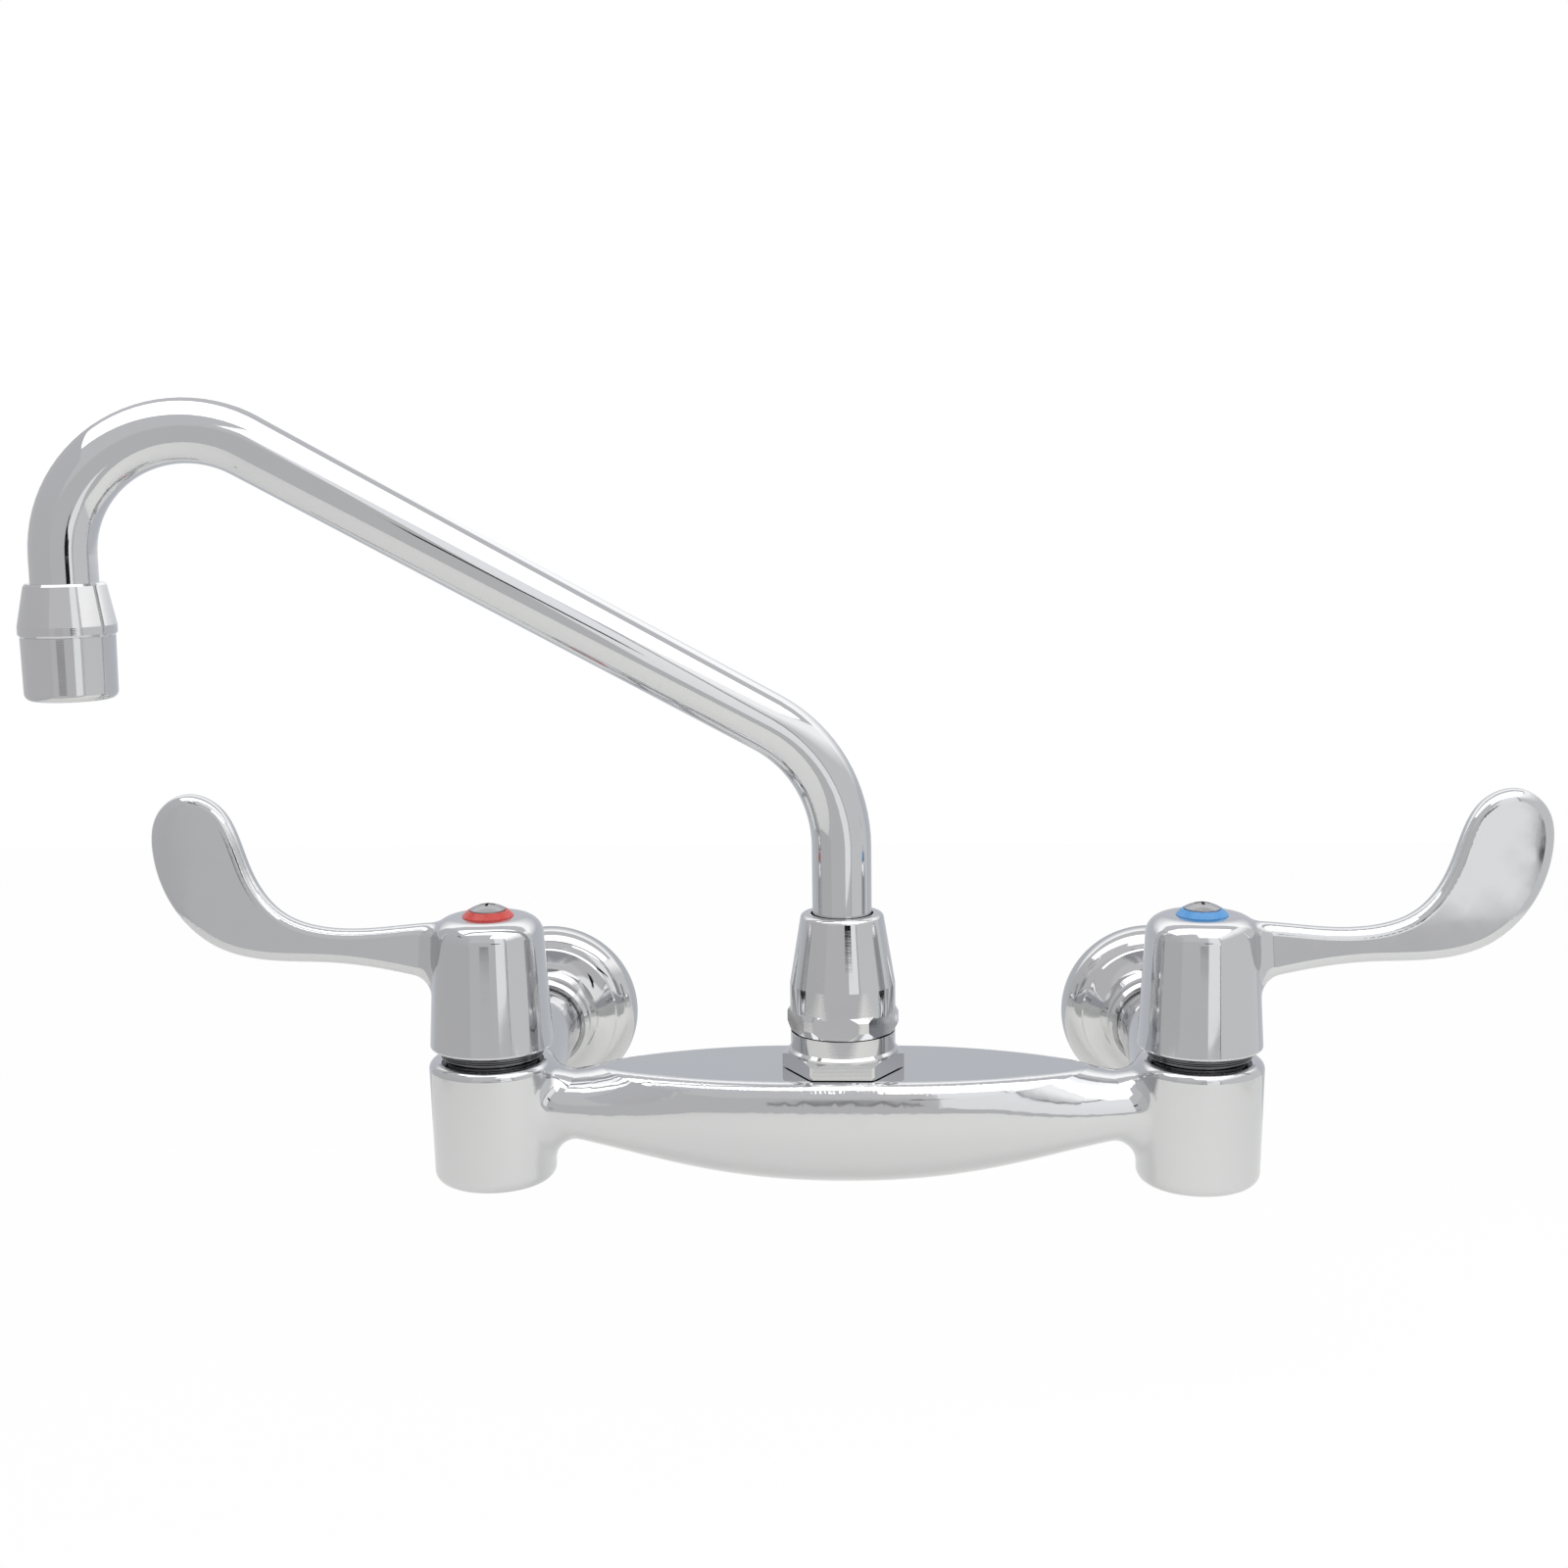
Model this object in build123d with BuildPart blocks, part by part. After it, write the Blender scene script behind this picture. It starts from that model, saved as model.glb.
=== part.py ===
# Wall-mounted two-handle faucet with wrist blades and a swivelling bent-tube spout.
# Frame: the origin is on the wall, midway between the two inlets, at their height.
# +X runs towards the cold side, -Y out from the wall and +Z up. All sizes are in millimetres.
import os
from math import cos, radians, sin

from build123d import *

os.makedirs("parts", exist_ok=True)

# Layout: inlets on 8 inch centres, valve barrels a little wider apart, spout midway between them
INLET_X = 203.2 / 2
VALVE_X = 105.9
VALVE_Y = -87.5
SPOUT_X = 0.0
SPOUT_Y = VALVE_Y
SIDES = ((-1, "hot"), (1, "cold"))

# Body casting, outside
BARREL_TOP = 8.8
BARREL_BOTTOM = -28.9
BARREL_R = 19.1
BARREL_FOOT_R = 18.3
BARREL_SHOULDER = 2.6
BARREL_FOOT_ROUND = 3.6
BRIDGE_TOP = 6.0
BRIDGE_EDGE_ROUND = 5.0
BRIDGE_ROOT_ROUND = 7.0
ARM_END_Y = -17.5
ARM_R = 12.7
ARM_ROOT_ROUND = 6.0
# Bridge sections: distance from the middle, half depth, half height, centre y, centre z
BRIDGE_SECTIONS = (
    (0.0, 23.7, 26.7, -84.7, -3.0),
    (34.0, 22.4, 24.1, -84.8, -3.2),
    (56.0, 17.8, 17.6, -85.4, -5.2),
    (72.0, 13.8, 12.4, -86.2, -6.2),
    (86.0, 10.8, 9.8, -87.0, -5.6),
    (96.0, 9.8, 9.4, -87.4, -4.8),
)
# Arm sections: distance from the wall, drift outwards, half width, half height, centre z
ARM_SECTIONS = (
    (24.0, 0.0, 12.7, 12.7, 0.0),
    (45.0, 0.8, 13.0, 12.6, -1.6),
    (62.0, 2.2, 14.2, 13.2, -5.0),
    (74.0, 3.4, 14.8, 13.0, -7.4),
    (88.0, 4.3, 13.0, 12.0, -8.5),
)

# Body casting, waterways
CHAMBER_R = 12.5
CHAMBER_FLOOR = -9.4
BONNET_THREAD_R = 14.2
BONNET_SEAT = 2.2
PORT_R = 6.5
PORT_FLOOR = -22.0
PASSAGE_R = 4.4
PASSAGE_Z = -4.7
INLET_BORE_R = 4.0
INLET_MOUTH_R = 8.0
INLET_MOUTH_DEPTH = 12.0
INLET_BORE_END_Z = -18.0
SPOUT_BOSS_R = 11.2
SPOUT_BOSS_FLOOR = -9.4

# Wall connection
FLANGE_R = 29.2
FLANGE_RIM = (27.6, 4.3)
FLANGE_RIDGE = (23.0, 7.3)
FLANGE_RIDGE_STEP = 0.5
FLANGE_DISH = (19.4, 8.5)
FLANGE_SEAT_R = 16.6
FLANGE_HOLE_R = 14.8
FLANGE_DEPTH = 9.6
FLANGE_WALL = 1.3
UNION_BACK = 1.0
UNION_R = 13.2
UNION_THREAD_R = 14.2
UNION_FACE = 15.5
UNION_BORE_R = 6.5
PIPE_THREAD_R = 9.4
PIPE_THREAD_LENGTH = 12.5
WASHER_R = 12.4
NUT_HEX = 32.0
NUT_R = 17.1
NUT_BACK_R = 16.4
NUT_HEX_FRONT = 15.8
NUT_FRONT = 21.3
NUT_COLLAR_R = 15.2
NUT_THREAD_R = 14.3
NUT_LIP_R = 13.1
SNAP_GROOVE_R = 11.9
SNAP_R = 14.0
SNAP_BACK = 18.4
SNAP_FRONT = 19.5
SNAP_GAP = 3.0

# Valve
CARTRIDGE_R = 12.3
CARTRIDGE_BORE_R = 9.5
CARTRIDGE_BOTTOM = -7.6
CARTRIDGE_CEILING = 0.4
CARTRIDGE_SEAL_Z = 1.2
CARTRIDGE_SEAL_WIRE_R = 0.8
CARTRIDGE_GROOVE_DEPTH = 1.5
CARTRIDGE_GROOVE_WIDTH = 1.8
NECK_R = 7.6
NECK_TOP = 22.0
WINDOW_WIDTH = 8.0
WINDOW_TOP = 0.0
DISC_R = 9.3
DISC_SPLIT = -5.1
DISC_GAP = 0.05
MOVING_DISC_TOP = -2.6
DISC_PORT_R = 2.5
DISC_PORT_OFFSET = 5.0
SEAL_BORE_R = 6.6
STEM_R = 4.9
STEM_CLEARANCE = 0.05
STEM_FOOT_R = 9.0
STEM_FOOT_TOP = 0.1
STEM_TOP = 44.5
DRIVE_SQUARE = 6.8
DRIVE_BOTTOM = 28.2
BONNET_R = 14.15
BONNET_THREAD_TOP = 8.0
BONNET_NECK_R = 13.4
BONNET_COLLAR_R = 15.4
BONNET_COLLAR_BOTTOM = 9.9
BONNET_COLLAR_TOP = 12.1
BONNET_COLLAR_CHAMFER = 0.7
BONNET_GROOVE = 0.3
BONNET_GROOVE_HEIGHTS = (10.45, 11.0)
BONNET_HEX = 22.0
BONNET_TOP = 17.5

# Handle: 4 inch wrist blade and hub in one casting
HUB_RIM_R = 18.5
HUB_SHOULDER_R = 16.2
HUB_RIM_Z = 12.6
HUB_TOP = 52.2
HUB_ROUND = 6.0
HUB_RIM_ROUND = 0.8
HUB_BOSS_R = 7.2
HUB_BOSS_BOTTOM = 28.5
HUB_CAVITY_TOP = 46.0
# Hollow of the hub: radius and height, up from the rim
HUB_CAVITY = (
    (0.0, 11.6), (14.7, 11.6), (14.7, 20.0), (12.6, 36.0), (10.5, 43.0), (9.0, HUB_CAVITY_TOP),
    (0.0, HUB_CAVITY_TOP),
)
BLADE_THICKNESS = 7.0
BLADE_EDGE_ROUND = 3.2
BLADE_ROOT_ROUND = 7.0
# Side outline of the blade: distance from the hub axis and height, from its foot round the tip and back
BLADE_OUTLINE = (
    (8.0, 30.0), (26.0, 34.9), (48.0, 38.1), (69.0, 39.1), (83.0, 43.3), (94.6, 54.4), (100.4, 71.5),
    (98.4, 83.6), (90.2, 89.3), (80.2, 86.0), (74.7, 77.0), (70.6, 65.0), (62.1, 53.4), (48.0, 48.6),
    (28.0, 49.1), (8.0, 50.0),
)
SCREW_R = 2.4
SCREW_HOLE_R = 2.6
SCREW_HEAD_R = 5.35
SCREW_HEAD_SIDE = 54.4
SCREW_HEAD_DOME = (3.1, 55.45)
SCREW_HEAD_TOP = 56.0
SCREW_END = STEM_TOP - 9.0
SCREW_RECESS = (4.6, 0.9)
SCREW_RECESS_DEPTH = 2.0
RING_R = 7.7
RING_TOP_R = 6.1
RING_BORE_R = 5.45
RING_TOP = 54.0
RING_RECESS = 0.8

# Spout
TUBE_R = 8.8
TUBE_WALL = 1.2
SPOUT_SWING = 17.0
SPOUT_REACH = 212.5
TUBE_START_Z = 26.0
LOWER_CORNER_Z = 98.3
LOWER_BEND_R = 43.6
UPPER_CORNER_Z = 218.8
UPPER_BEND_R = 32.3
TUBE_END_Z = 149.0
ADAPTER_SHANK_BOTTOM = -1.0
ADAPTER_HEX = 32.0
ADAPTER_R = 18.2
ADAPTER_CHAMFER = (1.6, 1.0)
ADAPTER_BOTTOM = 6.3
ADAPTER_HEX_TOP = 11.0
ADAPTER_STEP_R = 16.4
ADAPTER_STEP = 0.8
ADAPTER_NECK_R = 15.6
ADAPTER_NECK_TOP = 17.6
ADAPTER_BORE_R = 6.5
SPIGOT_R = 13.2
SPIGOT_TOP = 31.5
SOCKET_R = 10.8
SOCKET_FLOOR = 12.0
SEAL_RING_R = 13.0
SEAL_WIRE_R = 0.8
FERRULE_R = 10.75
FERRULE_BOTTOM = 12.3
FERRULE_FLANGE_R = 12.4
FERRULE_FLANGE_BOTTOM = 31.8
FERRULE_TOP = 34.0
FERRULE_BORE_R = 7.0
O_RING_HEIGHTS = (16.0, 21.5)
O_RING_WIRE_R = 0.9
O_RING_GROOVE = 2.2
SLIP_RING_BOTTOM = 34.3
SLIP_RING_TOP = 36.4
SLIP_RING_CLEARANCE = 0.05
COLLAR_BOTTOM = 17.9
COLLAR_HEX = 30.2
COLLAR_HEX_TURN = -7.0
COLLAR_HEX_R = 16.6
COLLAR_FOOT_R = 15.5
COLLAR_FOOT_CHAMFER = 2.2
COLLAR_HEX_TOP = 24.6
COLLAR_HEX_CHAMFER = 1.4
COLLAR_BAND_R = 15.67
COLLAR_BAND_TOP = 32.0
COLLAR_TOP = 53.0
COLLAR_TOP_R = 12.2
COLLAR_LIP = 1.4
COLLAR_BORE_R = 9.3
COLLAR_THREAD_R = 13.3

# Outlet: cone brazed on the tube and an aerator screwed into it
CONE_TOP = -7.1
CONE_BOTTOM = 6.6
CONE_TOP_R = 10.6
CONE_BOTTOM_R = 12.7
CONE_LEDGE = 1.4
SHELL_TOP = 6.9
SHELL_BOTTOM = 23.7
SHELL_TOP_R = 12.2
SHELL_BOTTOM_R = 12.0
SHELL_ROUND = 2.0
SHELL_BORE_R = 10.2
SHELL_LIP_R = 9.2
SHELL_LIP_TOP = 21.4
AERATOR_THREAD_R = 11.0
AERATOR_WASHER_BOTTOM = 2.4
SCREEN_BOTTOM = 2.9
SCREEN_HOLE = 1.1
SCREEN_PITCH = 1.8
INSERT_WALL = 1.3
INSERT_GRID_TOP = 17.4
INSERT_HOLE = 1.9
INSERT_PITCH = 2.6


def upright(x, y):
    """A vertical drawing plane through (x, y): its x is the radius and its y is the height."""
    return Plane(origin=(x, y, 0), x_dir=(1, 0, 0), z_dir=(0, -1, 0))


def off_wall(side):
    """A level drawing plane on an inlet axis: its x is the radius and its y the distance from the wall."""
    return Plane(origin=(side * INLET_X, 0, 0), x_dir=(1, 0, 0), z_dir=(0, 0, -1))


def turn(plane, outline, mode=Mode.ADD):
    """Revolve a closed outline of (radius, height) points about the y axis of its drawing plane."""
    with BuildSketch(plane) as profile:
        with BuildLine():
            Polyline(*outline, close=True)
        make_face()
    revolve(profile.sketch, axis=Axis(plane.origin, plane.y_dir), mode=mode)


def ring(plane, inner, outer, low, high, mode=Mode.ADD):
    """A plain turned ring, or a plain disc where inner is 0."""
    turn(plane, ((inner, low), (outer, low), (outer, high), (inner, high)), mode)


def seal(plane, radius, height, wire):
    """An O-ring of the given middle radius, lying at a height."""
    with BuildSketch(plane) as section:
        with Locations((radius, height)):
            Circle(wire)
    revolve(section.sketch, axis=Axis(plane.origin, plane.y_dir))


def save(piece, name):
    """Label a finished piece and write it as parts/name.step."""
    piece.part.label = name
    export_step(piece.part, f"parts/{name}.step")


# Bridge blank: a boat-shaped spindle of ellipses, planed flat on top, the flat running out in two points
with BuildPart() as bridge:
    far_half = [(-x, *section) for x, *section in BRIDGE_SECTIONS[:0:-1]]
    for x, half_depth, half_height, y, z in far_half + list(BRIDGE_SECTIONS):
        with BuildSketch(Plane.YZ.offset(x)):
            with Locations((y, z)):
                Ellipse(half_depth, half_height)
    loft()
    split(bisect_by=Plane.XY.offset(BRIDGE_TOP), keep=Keep.BOTTOM)
    flat_top = bridge.faces().filter_by(Plane.XY).sort_by(Axis.Z)[-1]
    fillet(flat_top.edges(), BRIDGE_EDGE_ROUND)


def is_arm_root(edge):
    """True for the seam where an inlet arm grows out of a barrel."""
    middle = edge.center()
    box = edge.bounding_box()
    on_seam = -24 < middle.Z < 8.4 and middle.Y > -84 and edge.geom_type != GeomType.LINE
    return on_seam and box.max.Y < -60 and box.min.Y > -90


def is_bridge_root(edge):
    """True for the seam where the bridge meets a barrel or an arm."""
    middle = edge.center()
    box = edge.bounding_box()
    near_barrel = VALVE_X - 21.5 < abs(middle.X) < VALVE_X - 12.5 and -105 < middle.Y < -74
    return near_barrel and edge.geom_type != GeomType.LINE and box.max.Z < 7.5 and box.min.Z > -16


# Body casting: two barrels, two inlet arms and the bridge, with its waterways
with BuildPart() as body_casting:
    for side, name in SIDES:
        valve_x = side * VALVE_X
        with BuildSketch(upright(valve_x, VALVE_Y)) as barrel_half:
            with BuildLine():
                Polyline((0, BARREL_BOTTOM), (BARREL_FOOT_R, BARREL_BOTTOM), (BARREL_R, BARREL_TOP),
                         (0, BARREL_TOP), close=True)
            make_face()
            fillet(barrel_half.vertices().group_by(Axis.Y)[0].sort_by(Axis.X)[-1], BARREL_FOOT_ROUND)
            fillet(barrel_half.vertices().group_by(Axis.Y)[-1].sort_by(Axis.X)[-1], BARREL_SHOULDER)
        revolve(axis=Axis((valve_x, VALVE_Y, 0), (0, 0, 1)))
        for out, drift, half_width, half_height, z in ARM_SECTIONS:
            with BuildSketch(Plane.XZ.offset(out)):
                with Locations((side * (INLET_X + drift), z)):
                    Ellipse(half_width, half_height)
        loft()
        with BuildSketch(Plane.XZ.offset(-ARM_END_Y)):
            with Locations((side * INLET_X, 0)):
                Circle(ARM_R)
        extrude(amount=ARM_SECTIONS[0][0] + ARM_END_Y)
    fillet(body_casting.edges().filter_by(is_arm_root), ARM_ROOT_ROUND)
    add(bridge.part)
    fillet(body_casting.edges().filter_by(is_bridge_root), BRIDGE_ROOT_ROUND)
    for side, name in SIDES:
        valve = upright(side * VALVE_X, VALVE_Y)
        ring(valve, 0, BONNET_THREAD_R, BONNET_SEAT, BARREL_TOP + 1, Mode.SUBTRACT)
        ring(valve, 0, CHAMBER_R, CHAMBER_FLOOR, BONNET_SEAT, Mode.SUBTRACT)
        ring(valve, 0, PORT_R, PORT_FLOOR, CHAMBER_FLOOR, Mode.SUBTRACT)
        arm = off_wall(side)
        ring(arm, 0, INLET_MOUTH_R, -ARM_END_Y - 1, -ARM_END_Y + INLET_MOUTH_DEPTH, Mode.SUBTRACT)
        ring(arm, SNAP_GROOVE_R, ARM_R + 1, SNAP_BACK - 0.1, SNAP_FRONT + 0.1, Mode.SUBTRACT)
        mouth = Vector(side * INLET_X, ARM_END_Y, 0)
        port = Vector(side * VALVE_X, VALVE_Y, INLET_BORE_END_Z)
        with BuildSketch(Plane(origin=mouth, z_dir=port - mouth)):
            Circle(INLET_BORE_R)
        extrude(amount=(port - mouth).length, mode=Mode.SUBTRACT)
    with BuildSketch(Plane.YZ.offset(-VALVE_X)):
        with Locations((SPOUT_Y - 0.5, PASSAGE_Z)):
            Circle(PASSAGE_R)
    extrude(amount=2 * VALVE_X, mode=Mode.SUBTRACT)
    ring(upright(SPOUT_X, SPOUT_Y), 0, SPOUT_BOSS_R, SPOUT_BOSS_FLOOR, BRIDGE_TOP + 1, Mode.SUBTRACT)
save(body_casting, "body_casting")


def make_wall_connection(side, name):
    """Flange, union, washer, coupling nut and snap ring on one inlet."""
    inlet = off_wall(side)
    ridge_r = FLANGE_RIDGE[0] - FLANGE_RIDGE_STEP
    ridge_depth = FLANGE_RIDGE[1]
    back = FLANGE_DEPTH - FLANGE_WALL
    with BuildPart() as flange:
        with BuildSketch(inlet) as shell_section:
            with BuildLine():
                ThreePointArc((FLANGE_R, 0), FLANGE_RIM, FLANGE_RIDGE)
                Polyline(FLANGE_RIDGE, (ridge_r, ridge_depth + FLANGE_RIDGE_STEP))
                ThreePointArc((ridge_r, ridge_depth + FLANGE_RIDGE_STEP), FLANGE_DISH,
                              (FLANGE_SEAT_R, FLANGE_DEPTH))
                Polyline((FLANGE_SEAT_R, FLANGE_DEPTH), (FLANGE_HOLE_R, FLANGE_DEPTH),
                         (FLANGE_HOLE_R, back), (FLANGE_SEAT_R, back), (ridge_r, ridge_depth - 0.9))
                ThreePointArc((ridge_r, ridge_depth - 0.9), (FLANGE_RIM[0] - 1.2, FLANGE_RIM[1] - 0.6),
                              (FLANGE_R - FLANGE_WALL, 0))
                Line((FLANGE_R - FLANGE_WALL, 0), (FLANGE_R, 0))
            make_face()
        revolve(axis=Axis(inlet.origin, inlet.y_dir))
    save(flange, f"{name}_flange")

    with BuildPart() as union:
        turn(inlet, ((PIPE_THREAD_R, UNION_BACK), (UNION_R, UNION_BACK), (UNION_R, FLANGE_DEPTH - 1),
                     (UNION_THREAD_R, FLANGE_DEPTH), (UNION_THREAD_R, UNION_FACE), (UNION_BORE_R, UNION_FACE),
                     (UNION_BORE_R, UNION_BACK + PIPE_THREAD_LENGTH),
                     (PIPE_THREAD_R, UNION_BACK + PIPE_THREAD_LENGTH)))
    save(union, f"{name}_inlet_union")

    with BuildPart() as washer:
        ring(inlet, UNION_BORE_R, WASHER_R, UNION_FACE, -ARM_END_Y)
    save(washer, f"{name}_union_washer")

    with BuildPart() as nut:
        with BuildSketch(Plane.XZ.offset(FLANGE_DEPTH)):
            with Locations((side * INLET_X, 0)):
                RegularPolygon(NUT_HEX / 2, 6, major_radius=False)
        extrude(amount=NUT_FRONT - FLANGE_DEPTH)
        turn(inlet, ((0, FLANGE_DEPTH), (NUT_BACK_R, FLANGE_DEPTH), (NUT_R, FLANGE_DEPTH + 0.6),
                     (NUT_R, NUT_HEX_FRONT - 1.2), (NUT_COLLAR_R + 0.4, NUT_HEX_FRONT),
                     (NUT_COLLAR_R, NUT_HEX_FRONT + 0.6), (NUT_COLLAR_R, NUT_FRONT - 1.2),
                     (NUT_COLLAR_R - 1.0, NUT_FRONT), (0, NUT_FRONT)), Mode.INTERSECT)
        ring(inlet, 0, NUT_THREAD_R, FLANGE_DEPTH - 1, SNAP_FRONT + 0.1, Mode.SUBTRACT)
        ring(inlet, 0, NUT_LIP_R, SNAP_FRONT, NUT_FRONT + 1, Mode.SUBTRACT)
    save(nut, f"{name}_coupling_nut")

    with BuildPart() as snap_ring:
        ring(inlet, SNAP_GROOVE_R, SNAP_R, SNAP_BACK, SNAP_FRONT)
        with BuildSketch(Plane.XZ.offset(SNAP_BACK - 1)):
            with Locations((side * INLET_X, -SNAP_R)):
                Rectangle(SNAP_GAP, SNAP_R)
        extrude(amount=3, mode=Mode.SUBTRACT)
    save(snap_ring, f"{name}_snap_ring")


def make_cartridge(side, name):
    """Fixed parts of one valve: seat seal, fixed disc, housing, O-ring and bonnet nut."""
    valve = upright(side * VALVE_X, VALVE_Y)
    with BuildPart() as seat_seal:
        ring(valve, SEAL_BORE_R, DISC_R, CHAMBER_FLOOR, CARTRIDGE_BOTTOM)
    save(seat_seal, f"{name}_seat_seal")

    with BuildPart() as fixed_disc:
        ring(valve, 0, DISC_R, CARTRIDGE_BOTTOM, DISC_SPLIT)
        with BuildSketch(Plane.XY.offset(CARTRIDGE_BOTTOM)):
            with Locations((side * VALVE_X, VALVE_Y - DISC_PORT_OFFSET),
                           (side * VALVE_X, VALVE_Y + DISC_PORT_OFFSET)):
                Circle(DISC_PORT_R)
        extrude(amount=DISC_SPLIT - CARTRIDGE_BOTTOM, mode=Mode.SUBTRACT)
    save(fixed_disc, f"{name}_fixed_disc")

    with BuildPart() as cartridge:
        ring(valve, 0, CARTRIDGE_R, CARTRIDGE_BOTTOM, BONNET_SEAT)
        ring(valve, 0, NECK_R, BONNET_SEAT, NECK_TOP)
        ring(valve, 0, CARTRIDGE_BORE_R, CARTRIDGE_BOTTOM - 1, CARTRIDGE_CEILING, Mode.SUBTRACT)
        ring(valve, 0, STEM_R + STEM_CLEARANCE, CARTRIDGE_CEILING, NECK_TOP + 1, Mode.SUBTRACT)
        groove_low = CARTRIDGE_SEAL_Z - CARTRIDGE_GROOVE_WIDTH / 2
        ring(valve, CARTRIDGE_R - CARTRIDGE_GROOVE_DEPTH, CARTRIDGE_R + 1, groove_low,
             groove_low + CARTRIDGE_GROOVE_WIDTH, Mode.SUBTRACT)
        with BuildSketch(Plane.XY.offset(DISC_SPLIT)):
            with Locations((side * VALVE_X, VALVE_Y)):
                Rectangle(2 * CARTRIDGE_R + 2, WINDOW_WIDTH)
                Circle(CARTRIDGE_BORE_R, mode=Mode.SUBTRACT)
        extrude(amount=WINDOW_TOP - DISC_SPLIT, mode=Mode.SUBTRACT)
    save(cartridge, f"{name}_cartridge_housing")

    with BuildPart() as cartridge_seal:
        seal(valve, CHAMBER_R - CARTRIDGE_SEAL_WIRE_R - 0.05, CARTRIDGE_SEAL_Z, CARTRIDGE_SEAL_WIRE_R)
    save(cartridge_seal, f"{name}_cartridge_o_ring")

    with BuildPart() as bonnet:
        ring(valve, 0, BONNET_R, BONNET_SEAT, BONNET_THREAD_TOP)
        ring(valve, 0, BONNET_NECK_R, BONNET_THREAD_TOP, BONNET_COLLAR_BOTTOM)
        turn(valve, ((0, BONNET_COLLAR_BOTTOM), (BONNET_COLLAR_R, BONNET_COLLAR_BOTTOM),
                     (BONNET_COLLAR_R, BONNET_COLLAR_TOP - BONNET_COLLAR_CHAMFER),
                     (BONNET_COLLAR_R - BONNET_COLLAR_CHAMFER, BONNET_COLLAR_TOP), (0, BONNET_COLLAR_TOP)))
        for z in BONNET_GROOVE_HEIGHTS:
            turn(valve, ((BONNET_COLLAR_R - BONNET_GROOVE, z), (BONNET_COLLAR_R + BONNET_GROOVE, z - 0.3),
                         (BONNET_COLLAR_R + BONNET_GROOVE, z + 0.3)), Mode.SUBTRACT)
        with BuildSketch(Plane.XY.offset(BONNET_COLLAR_TOP)):
            with Locations((side * VALVE_X, VALVE_Y)):
                RegularPolygon(BONNET_HEX / 2, 6, major_radius=False)
        extrude(amount=BONNET_TOP - BONNET_COLLAR_TOP)
        ring(valve, 0, NECK_R + 0.05, BONNET_SEAT - 1, BONNET_TOP + 1, Mode.SUBTRACT)
    save(bonnet, f"{name}_bonnet_nut")


def make_stem(side, name):
    """Moving parts inside one valve: the ceramic disc and the stem that turns it."""
    valve = upright(side * VALVE_X, VALVE_Y)
    with BuildPart() as moving_disc:
        ring(valve, 0, DISC_R, DISC_SPLIT + DISC_GAP, MOVING_DISC_TOP)
        with BuildSketch(Plane.XY.offset(DISC_SPLIT)):
            with Locations((side * VALVE_X - DISC_PORT_OFFSET, VALVE_Y),
                           (side * VALVE_X + DISC_PORT_OFFSET, VALVE_Y)):
                Circle(DISC_PORT_R)
        extrude(amount=MOVING_DISC_TOP - DISC_SPLIT, mode=Mode.SUBTRACT)
    save(moving_disc, f"{name}_moving_disc")

    with BuildPart() as stem:
        ring(valve, 0, STEM_FOOT_R, MOVING_DISC_TOP, STEM_FOOT_TOP)
        ring(valve, 0, STEM_R, STEM_FOOT_TOP, DRIVE_BOTTOM)
        with BuildSketch(Plane.XY.offset(DRIVE_BOTTOM)):
            with Locations((side * VALVE_X, VALVE_Y)):
                Rectangle(DRIVE_SQUARE, DRIVE_SQUARE)
        extrude(amount=STEM_TOP - DRIVE_BOTTOM)
        ring(valve, 0, SCREW_R, STEM_TOP - 10, STEM_TOP + 1, Mode.SUBTRACT)
        with BuildSketch(Plane.XY.offset(MOVING_DISC_TOP)):
            with Locations((side * VALVE_X - STEM_FOOT_R, VALVE_Y), (side * VALVE_X + STEM_FOOT_R, VALVE_Y)):
                SlotOverall(2 * (STEM_FOOT_R - DISC_PORT_OFFSET + DISC_PORT_R), 2 * DISC_PORT_R)
        extrude(amount=STEM_FOOT_TOP - MOVING_DISC_TOP - 0.6, mode=Mode.SUBTRACT)
    save(stem, f"{name}_stem")


# Handle: hub and wrist blade in one casting, drawn on the hot side. The blade points away from the spout.
hot_valve = upright(-VALVE_X, VALVE_Y)
with BuildPart() as blade:
    with BuildSketch(upright(-VALVE_X, VALVE_Y - BLADE_THICKNESS / 2)):
        with BuildLine():
            blade_edge = Spline(*[(-out, height) for out, height in BLADE_OUTLINE])
            Line(blade_edge @ 1, blade_edge @ 0)
        make_face()
    extrude(amount=-BLADE_THICKNESS)
    fillet(blade.edges().filter_by(lambda edge: edge.geom_type != GeomType.LINE), BLADE_EDGE_ROUND)


def is_blade_root(edge):
    """True for the seam where the blade grows out of the hub."""
    middle = edge.center()
    box = edge.bounding_box()
    out = -VALVE_X - middle.X
    narrow = box.size.X < 12 and box.size.Y < 9 and abs(middle.Y - VALVE_Y) < 6
    return narrow and 11 < out < 18 and 28 < middle.Z < 51 and edge.geom_type != GeomType.CIRCLE


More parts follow.
